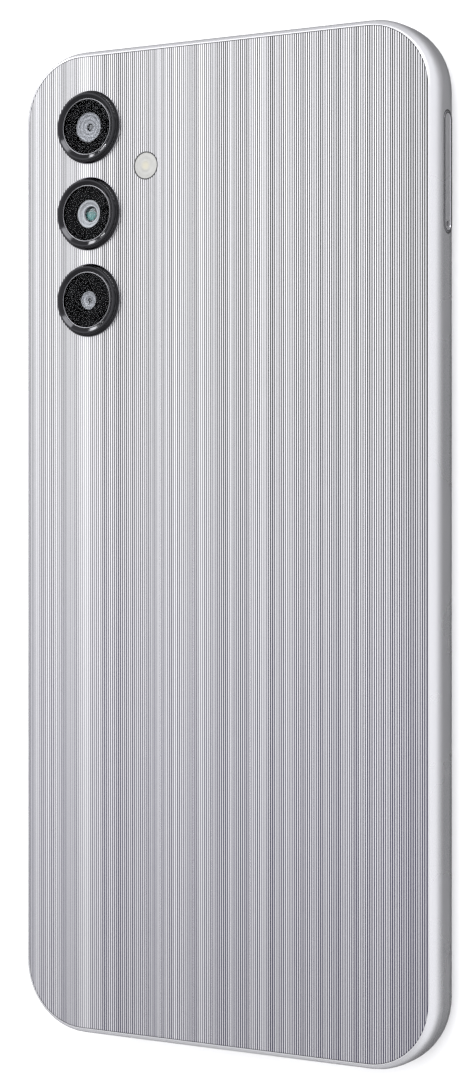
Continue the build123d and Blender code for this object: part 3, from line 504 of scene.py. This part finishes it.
# ---------------------------------------------------------------- cameras and flash
CAMERAS = {name: centre(f"camera_ring_{name}") for name in ("top", "middle", "bottom")}
for name, at in CAMERAS.items():
    dress(turned_chrome(f"dark_chrome_{name}", (0.040, 0.040, 0.043), 0.10, at), f"camera_ring_{name}")
dress(clear_glass("camera_glass", (0.93, 0.95, 0.96), ior=1.09), "camera_windows")
dress(worn_surface("mask_black", (0.004, 0.004, 0.0045), 0.5, Specular_IOR_Level=0.04), "lens_masks")
SPACING = (CAMERAS["top"].y - CAMERAS["middle"].y) / MM
dress(ringed_plastic("barrel_grey", (0.27, 0.27, 0.29), CAMERAS["top"], SPACING, 0.62, 0.03), "lens_barrels")
dress(
    ringed_plastic("focus_barrel_grey", (0.44, 0.44, 0.46), CAMERAS["middle"], SPACING, 0.9, 0.02),
    "focus_barrel",
)
dress(coated_lens("plain_lens", (0.05, 0.05, 0.06), CAMERAS["top"], 0.6 * MM), "front_lenses")
dress(coated_lens("teal_lens", (0.02, 0.13, 0.12), CAMERAS["middle"], 1.36 * MM), "focus_lens")
FLASH = centre("flash_lens")
dress(ribbed_flash(FLASH), "flash_lens")
dress(worn_surface("phosphor", (0.85, 0.68, 0.12), 0.6, grain=0.01), "flash_led")

# ---------------------------------------------------------------- inner parts
STEEL = brushed_metal("stamped_steel", (0.56, 0.56, 0.57), 0.28, (300, 4000, 4000))
BLACK_PLASTIC = worn_surface("black_plastic", (0.022, 0.022, 0.023), 0.5, grain=0.008)
CHIP = worn_surface("chip_black", (0.03, 0.03, 0.032), 0.55, grain=0.006, grain_size=0.06)
AMBER_FILM = worn_surface("amber_film", (0.42, 0.17, 0.025), 0.3, Coat_Weight=0.4)
DARK_FILM = worn_surface("dark_film", (0.02, 0.019, 0.018), 0.32, Coat_Weight=0.3)
GOLD = brushed_metal("gold_plate", (0.83, 0.60, 0.26), 0.22, (3000, 3000, 400))
dress(
    worn_surface("cast_alloy", (0.48, 0.49, 0.51), 0.5, grain=0.015, grain_size=0.12, Metallic=1.0),
    "mid_frame",
)
dress(brushed_metal("blackened_steel", (0.035, 0.035, 0.037), 0.45, (300, 4000, 4000)), "eject_rod")
dress(STEEL, "usb_shell", "sim_cage", "eject_lever", "motor_case", "speaker_basket")
dress(STEEL, "key_switches", "switch_domes", "board_shields", "microphones")
dress(BLACK_PLASTIC, "headphone_jack", "top_bracket", "low_bracket", "speaker_box", "earpiece_receiver")
dress(CHIP, "board_chips", "camera_housings", "focus_housing", "front_camera", "usb_tongue")
dress(solder_mask(), "main_board", "sub_board")
dress(GOLD, "board_connectors", "sim_contacts")
dress(AMBER_FILM, "camera_flexes", "key_flex", "battery_flex", "display_flex")
dress(DARK_FILM, "main_flex", "battery")
dress(worn_surface("white_sheath", (0.75, 0.75, 0.74), 0.45), "antenna_cable")
dress(brushed_metal("magnet_nickel", (0.6, 0.58, 0.54), 0.2, (800, 800, 800)), "speaker_magnet")
dress(brushed_metal("tungsten", (0.28, 0.28, 0.29), 0.4, (900, 900, 900)), "motor_weight")
dress(worn_surface("cone_film", (0.03, 0.03, 0.033), 0.35, grain=0.01), "speaker_cone")
dress(brushed_metal("screw_nickel", (0.36, 0.36, 0.37), 0.3, (2500, 2500, 2500)), "screws")
WIRE_CLOTH = woven_mesh("wire_cloth", (0.30, 0.30, 0.31), 0.16)
dress(WIRE_CLOTH, "earpiece_mesh", "speaker_mesh")

# ---------------------------------------------------------------- screen print and front camera
GLASS_LOW, GLASS_HIGH = (Vector(corner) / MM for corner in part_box("cover_glass"))
PRINT = worn_surface("screen_print", (0.0035, 0.0035, 0.0038), 0.3, Coat_Weight=0.2)
WINDOW_W, WINDOW_H, WINDOW_R = 68.6, 152.9, 6.5   # the clear area inside the border
WINDOW_Y = 2.17                      # its middle's height up the phone
NOTCH_HALF_W, NOTCH_DROP = 4.6, 4.6  # the camera's notch in its top edge
NOTCH_STEP = 0.42                    # from one point of the notch's curve to the next


def screen_print():
    """The black print under the glass: a border with a notch for the camera at its top."""
    middle = ((GLASS_LOW.x + GLASS_HIGH.x) / 2, (GLASS_LOW.y + GLASS_HIGH.y) / 2)
    width, height = GLASS_HIGH.x - GLASS_LOW.x, GLASS_HIGH.y - GLASS_LOW.y
    outer = rounded_outline(width - 0.5, height - 0.5, 9.35, middle)
    inner = rounded_outline(WINDOW_W, WINDOW_H, WINDOW_R, (0.0, WINDOW_Y))
    # points along both top edges draw the notch; the outer edge gets as many, unmoved
    notch = []
    for n in range(-12, 13):
        x = n * NOTCH_STEP
        drop = NOTCH_DROP * max(0.0, math.cos(math.pi * min(1.0, abs(x) / NOTCH_HALF_W) / 2)) ** 1.5
        notch.append((-x, WINDOW_Y + WINDOW_H / 2 - drop))
    top = [(x, outer[10][1]) for x, _ in notch]
    outer = outer[:11] + top + outer[11:]
    inner = inner[:11] + notch + inner[11:]
    back = GLASS_HIGH.z - 0.005
    return sheet_between("screen_print", outer, inner, back - 0.012, back, PRINT, "phone")


screen_print()

FRONT_CAMERA = centre("front_camera")
lathe(
    "front_camera_lens", FRONT_CAMERA,
    [(0, 0.92), (0.35, 0.93), (0.7, 0.98), (1.02, 1.08), (1.02, 1.25), (0, 1.25)],
    coated_lens("front_lens_coat", (0.03, 0.04, 0.10), FRONT_CAMERA, 1.0 * MM), "phone",
)
lathe(
    "front_camera_rim", FRONT_CAMERA,
    [(1.12, 0.74), (1.85, 0.74), (1.85, 0.84), (1.12, 0.84)],
    worn_surface("front_camera_rim", (0.03, 0.03, 0.033), 0.3, Metallic=0.6), "phone",
)

# ---------------------------------------------------------------- camera trims
def bead(radius, depth, size, steps=8):
    """The (radius, depth) outline of a small round bead."""
    turns = (2 * math.pi * n / steps for n in range(steps))
    return [(radius + size * math.cos(t), depth + size * math.sin(t)) for t in turns]


TRIM = worn_surface("trim_bright", (0.75, 0.75, 0.78), 0.18, Metallic=1.0)
for name, at in CAMERAS.items():
    lathe(f"window_trim_{name}", at, bead(4.71, 9.93, 0.05), TRIM, "phone")
    lathe(f"ring_foot_{name}", at, bead(6.17, 9.16, 0.07), TRIM, "phone")

# ---------------------------------------------------------------- flash optic
DARK_SEAM = worn_surface("dark_seam", (0.03, 0.03, 0.032), 0.6, grain=0.01)
FLASH_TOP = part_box("flash_lens")[1][2] / MM


def flash_optic():
    """Rings of small facets pressed into the flash cover, rising to its middle."""
    rings = [(1.95, 0.0), (1.55, 0.05), (1.15, 0.015), (0.75, 0.075), (0.38, 0.04)]
    sides = 12
    verts, faces = [], []
    for ring, (radius, rise) in enumerate(rings):
        for n in range(sides):
            turn = 2 * math.pi * (n + 0.5 * (ring % 2)) / sides
            x, y = FLASH.x + radius * MM * math.cos(turn), FLASH.y + radius * MM * math.sin(turn)
            verts.append((x, y, (FLASH_TOP + 0.005 + rise) * MM))
    for ring in range(len(rings) - 1):
        a, b = ring * sides, (ring + 1) * sides
        for n in range(sides):
            after = (n + 1) % sides
            if ring % 2:
                faces += [(a + n, a + after, b + after), (a + n, b + after, b + n)]
            else:
                faces += [(a + n, a + after, b + n), (a + after, b + after, b + n)]
    last = (len(rings) - 1) * sides
    faces.append(tuple(range(last, last + sides)))
    foot = len(verts)
    verts += [(x, y, (FLASH_TOP - 0.02) * MM) for x, y, _ in verts[:sides]]
    faces += [(n, foot + n, foot + (n + 1) % sides, (n + 1) % sides) for n in range(sides)]
    faces.append(tuple(foot + n for n in reversed(range(sides))))
    new_piece("flash_optic", verts, faces, ribbed_flash(FLASH), "phone", smooth_angle=1.0)


flash_optic()
lathe(
    "flash_seal", FLASH,
    [(2.2, 9.06), (2.36, 9.06), (2.36, 9.125), (2.2, 9.125)],
    DARK_SEAM, "phone",
)

# ---------------------------------------------------------------- card tray trims
TRAY_LOW, TRAY_HIGH = (Vector(corner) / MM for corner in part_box("sim_tray"))


def slot_band(name, grow, width, out, depth, material, body):
    """A round-ended band on the tray's outer face: grow outside its edge, width wide, out proud."""
    middle = ((TRAY_LOW.y + TRAY_HIGH.y) / 2, (TRAY_LOW.z + TRAY_HIGH.z) / 2)
    length, height = TRAY_HIGH.y - TRAY_LOW.y, TRAY_HIGH.z - TRAY_LOW.z

    def outline(extra):
        high = height + 2 * extra
        return rounded_outline(length + 2 * extra, high, high / 2 - 0.001, middle)

    outer, inner = outline(grow + width), outline(grow)
    face, count = TRAY_HIGH.x + out, len(outer)
    rings = [(outer, face), (inner, face), (inner, face - depth), (outer, face - depth)]
    verts = [(x * MM, y * MM, z * MM) for points, x in rings for y, z in points]
    faces = []
    for ring in range(4):
        a, b = ring * count, (ring + 1) % 4 * count
        faces += [(a + k, a + (k + 1) % count, b + (k + 1) % count, b + k) for k in range(count)]
    new_piece(name, verts, faces, material, body)


slot_band("tray_gasket", -0.10, 0.24, 0.02, 0.5, DARK_SEAM, "sim_tray")
slot_band("tray_edge", -0.42, 0.26, 0.04, 0.10, TRIM, "sim_tray")

# ---------------------------------------------------------------- ports
TONGUE_LOW, TONGUE_HIGH = (Vector(corner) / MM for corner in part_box("usb_tongue"))
CONTACTS, CONTACT_PITCH = 12, 0.5
LONG_CONTACTS = (0, 3, 8, 11)        # these start nearer the tongue's tip


def port_contacts():
    """Twelve gold pads on each face of the charging port's tongue."""
    pads = []
    faces = ((TONGUE_LOW.z - 0.03, TONGUE_LOW.z + 0.05), (TONGUE_HIGH.z - 0.05, TONGUE_HIGH.z + 0.03))
    for n in range(CONTACTS):
        x = (n - (CONTACTS - 1) / 2) * CONTACT_PITCH
        for low, high in faces:
            reach = 0.9 if n in LONG_CONTACTS else 1.3
            pads.append(((x - 0.12, TONGUE_LOW.y + reach, low), (x + 0.12, TONGUE_LOW.y + 4.6, high)))
    blocks("port_contacts", pads, GOLD, "phone", edge=0.015)


port_contacts()

# ---------------------------------------------------------------- studio
FLOOR_SIZE = 30.0
FLOOR_GAP = 0.05 * MM                # keeps the floor off the face of the glass


def studio_floor():
    """A plain pale floor under the phone; polished faces mirror the dark room instead of it."""
    g = Graph("studio_floor")
    cloud = g.noise(g.place(), 3.0)
    g.surface(Base_Color=g.mix(cloud, (0.90, 0.90, 0.90), (0.92, 0.92, 0.92)), Roughness=0.75)
    half, z = FLOOR_SIZE / 2, CAD_BOX[0][2] - FLOOR_GAP
    mesh = bpy.data.meshes.new("floor")
    corners = [(-half, -half, z), (half, -half, z), (half, half, z), (-half, half, z)]
    mesh.from_pydata(corners, [], [(0, 1, 2, 3)])
    mesh.materials.append(g.material)
    floor = bpy.data.objects.new("floor", mesh)
    floor.visible_glossy = False
    bpy.context.collection.objects.link(floor)


SKY_BRIGHT, SKY_PLAIN = 1.80, 0.56   # towards the bright patch, and away from it
SIDE_LIGHT = 1.75                    # gain towards the tray side
GROUND = 0.11                        # share of the light left straight below


def studio_world():
    """A soft room: a bright patch high beyond the phone's top edge, a lighter tray side and a dark ground."""
    world = bpy.data.worlds.new("studio")
    bpy.context.scene.world = world
    world.use_nodes = True
    tree = world.node_tree
    lit = tree.nodes["Background"]
    lit.inputs["Color"].default_value = (0.97, 0.97, 1.0, 1)
    direction = tree.nodes.new("ShaderNodeTexCoord").outputs["Generated"]

    def towards(axis, start, end, at_start, at_end):
        dot = tree.nodes.new("ShaderNodeVectorMath")
        dot.operation = "DOT_PRODUCT"
        dot.inputs[1].default_value = Vector(axis).normalized()
        tree.links.new(direction, dot.inputs[0])
        ramp = tree.nodes.new("ShaderNodeMapRange")
        ramp.interpolation_type = "SMOOTHSTEP"
        for socket, number in zip(list(ramp.inputs)[1:5], (start, end, at_start, at_end)):
            socket.default_value = number
        tree.links.new(dot.outputs["Value"], ramp.inputs["Value"])
        return ramp.outputs["Result"]

    def times(first, second):
        product = tree.nodes.new("ShaderNodeMath")
        product.operation = "MULTIPLY"
        tree.links.new(first, product.inputs[0])
        tree.links.new(second, product.inputs[1])
        return product.outputs[0]

    patch = towards((-0.46, 0.45, 0.86), 0.72, 0.99, SKY_PLAIN, SKY_BRIGHT)
    side = towards((1, 0, 0), 0.0, 0.8, 1.0, SIDE_LIGHT)
    ground = towards((0, 0, 1), -0.97, -0.35, GROUND, 1.0)
    tree.links.new(times(times(patch, side), ground), lit.inputs["Strength"])
    backdrop = tree.nodes.new("ShaderNodeBackground")
    backdrop.inputs["Color"].default_value = (1, 1, 1, 1)
    seen = tree.nodes.new("ShaderNodeLightPath").outputs["Is Camera Ray"]
    choice = tree.nodes.new("ShaderNodeMixShader")
    tree.links.new(seen, choice.inputs[0])
    tree.links.new(lit.outputs[0], choice.inputs[1])
    tree.links.new(backdrop.outputs[0], choice.inputs[2])
    tree.links.new(choice.outputs[0], tree.nodes["World Output"].inputs["Surface"])


def softbox(name, place, size, power, color=(1, 1, 1)):
    light = bpy.data.lights.new(name, "AREA")
    light.shape = "RECTANGLE"
    light.size, light.size_y = size
    light.energy = power
    light.color = color
    lamp = bpy.data.objects.new(name, light)
    lamp.location = place
    lamp.rotation_euler = (-Vector(place)).to_track_quat("-Z", "Y").to_euler()
    bpy.context.collection.objects.link(lamp)


def floor_wash(strength, spread_deg):
    """Even light from above that whitens the floor; polished faces don't mirror it."""
    light = bpy.data.lights.new("floor_wash", "SUN")
    light.energy = strength
    light.angle = math.radians(spread_deg)
    lamp = bpy.data.objects.new("floor_wash", light)
    lamp.visible_glossy = False
    bpy.context.collection.objects.link(lamp)


studio_floor()
studio_world()
floor_wash(2.0, 120)
softbox("low_strip", (-0.85, 0.72, 0.14), (0.45, 0.14), 2.5)
softbox("high_box", (0.30, 0.80, 0.72), (0.9, 0.25), 4.5)

# ---------------------------------------------------------------- camera
CAMERA_ROLL = 29.5                   # degrees from straight down, towards the tray side
LENS, SENSOR = 79.4, 36.0            # millimetres; the sensor's long side is the frame's height
EYE = (0.1954, 0.00535, 0.3492)
VIEW_SHIFT = -0.0269                 # the lens's axis lies a little above the frame's middle

camera = bpy.data.cameras.new("camera")
camera.lens, camera.sensor_width = LENS, SENSOR
camera.shift_y = VIEW_SHIFT
camera.clip_start, camera.clip_end = 0.01, 100.0
eye = bpy.data.objects.new("camera", camera)
eye.location = EYE
eye.rotation_euler = (0, math.radians(CAMERA_ROLL), 0)
bpy.context.collection.objects.link(eye)
bpy.context.scene.camera = eye
bpy.context.scene.view_settings.view_transform = "Standard"
